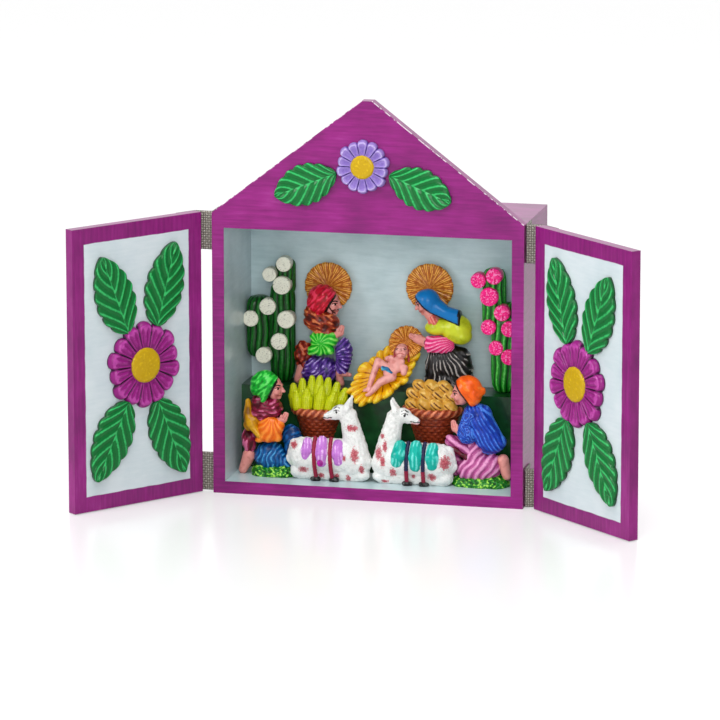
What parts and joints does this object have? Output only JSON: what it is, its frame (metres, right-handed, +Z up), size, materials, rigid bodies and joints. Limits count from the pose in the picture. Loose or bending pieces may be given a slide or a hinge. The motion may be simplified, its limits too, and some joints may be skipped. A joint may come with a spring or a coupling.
{
  "type": "retablo box",
  "caption": "Folk display box with a gable, two cloth-hinged doors with relief flowers, and a hand-modelled painted scene of kneeling figures, llamas, baskets and cacti.",
  "frame": {"origin": "centre of the underside of the base board", "axes": "+X to the right as seen from the front, -Y out of the open front, +Z up"},
  "size_m": [0.2328, 0.0992, 0.1657],
  "materials": {
    "box_paint": "varnished magenta paint on pine",
    "back_paint": "brushed matt pale blue paint on board",
    "step_paint": "brushed green paint on wood",
    "hinge_ribbon": "woven ribbon, grey",
    "yellow_paint": "varnished paint on modelling paste",
    "lilac_paint": "varnished paint on modelling paste",
    "petal_paint": "varnished paint on modelling paste",
    "leaf_paint": "varnished paint on modelling paste",
    "halo_paint": "varnished paint on modelling paste",
    "man_paint": "varnished paints on modelling paste",
    "woman_paint": "varnished paints on modelling paste",
    "skin_paint": "varnished paint on modelling paste",
    "straw_paint": "varnished paint on modelling paste",
    "cactus_paint": "varnished paint on modelling paste",
    "white_flower_paint": "varnished paint on modelling paste",
    "pink_flower_paint": "varnished paint on modelling paste",
    "left_herder_paint": "varnished paints on modelling paste",
    "right_herder_paint": "varnished paints on modelling paste",
    "llama_paint": "varnished paint on modelling paste",
    "basket_paint": "varnished paint on modelling paste",
    "corn_paint": "varnished paint on modelling paste",
    "potato_paint": "varnished paint on modelling paste",
    "grass_paint": "varnished paint on modelling paste"
  },
  "bodies": {
    "box": {"base_board": "box_paint", "left_side_board": "box_paint", "right_side_board": "box_paint", "top_board": "box_paint", "back_panel": "back_paint", "gable_board": "box_paint", "back_step": "step_paint", "left_top_strip": "hinge_ribbon", "left_bottom_strip": "hinge_ribbon", "right_top_strip": "hinge_ribbon", "right_bottom_strip": "hinge_ribbon", "gable_flower": "lilac_paint", "gable_flower_centre": "yellow_paint", "gable_left_leaf": "leaf_paint", "gable_right_leaf": "leaf_paint", "kneeling_man": "man_paint", "kneeling_man_halo": "halo_paint", "kneeling_woman": "woman_paint", "kneeling_woman_halo": "halo_paint", "child": "skin_paint", "child_halo": "halo_paint", "straw_bed": "straw_paint", "white_flower_cactus": "cactus_paint", "white_cactus_flowers": "white_flower_paint", "pink_flower_cactus": "cactus_paint", "pink_cactus_flowers": "pink_flower_paint", "left_herder": "left_herder_paint", "right_herder": "right_herder_paint", "left_llama": "llama_paint", "right_llama": "llama_paint", "corn_basket": "basket_paint", "corn_cobs": "corn_paint", "potato_basket": "basket_paint", "potatoes": "potato_paint", "left_grass": "grass_paint", "right_grass": "grass_paint"},
    "left_door": {"left_door": "box_paint", "left_door_flower": "petal_paint", "left_door_flower_centre": "yellow_paint", "left_door_leaf_1": "leaf_paint", "left_door_leaf_2": "leaf_paint", "left_door_leaf_3": "leaf_paint", "left_door_leaf_4": "leaf_paint"},
    "right_door": {"right_door": "box_paint", "right_door_flower": "petal_paint", "right_door_flower_centre": "yellow_paint", "right_door_leaf_1": "leaf_paint", "right_door_leaf_2": "leaf_paint", "right_door_leaf_3": "leaf_paint", "right_door_leaf_4": "leaf_paint"}
  },
  "joints": [
    {"name": "left_door_hinge", "type": "hinge", "parent": "box", "child": "left_door", "pos_m": [-0.0672, -0.0231, 0], "axis": [0, 0, -1], "range_deg": [-128, 72], "deforming": ["left_top_strip", "left_bottom_strip"]},
    {"name": "right_door_hinge", "type": "hinge", "parent": "box", "child": "right_door", "pos_m": [0.0672, -0.0231, 0], "axis": [0, 0, 1], "range_deg": [-137, 63], "deforming": ["right_top_strip", "right_bottom_strip"]}
  ]
}
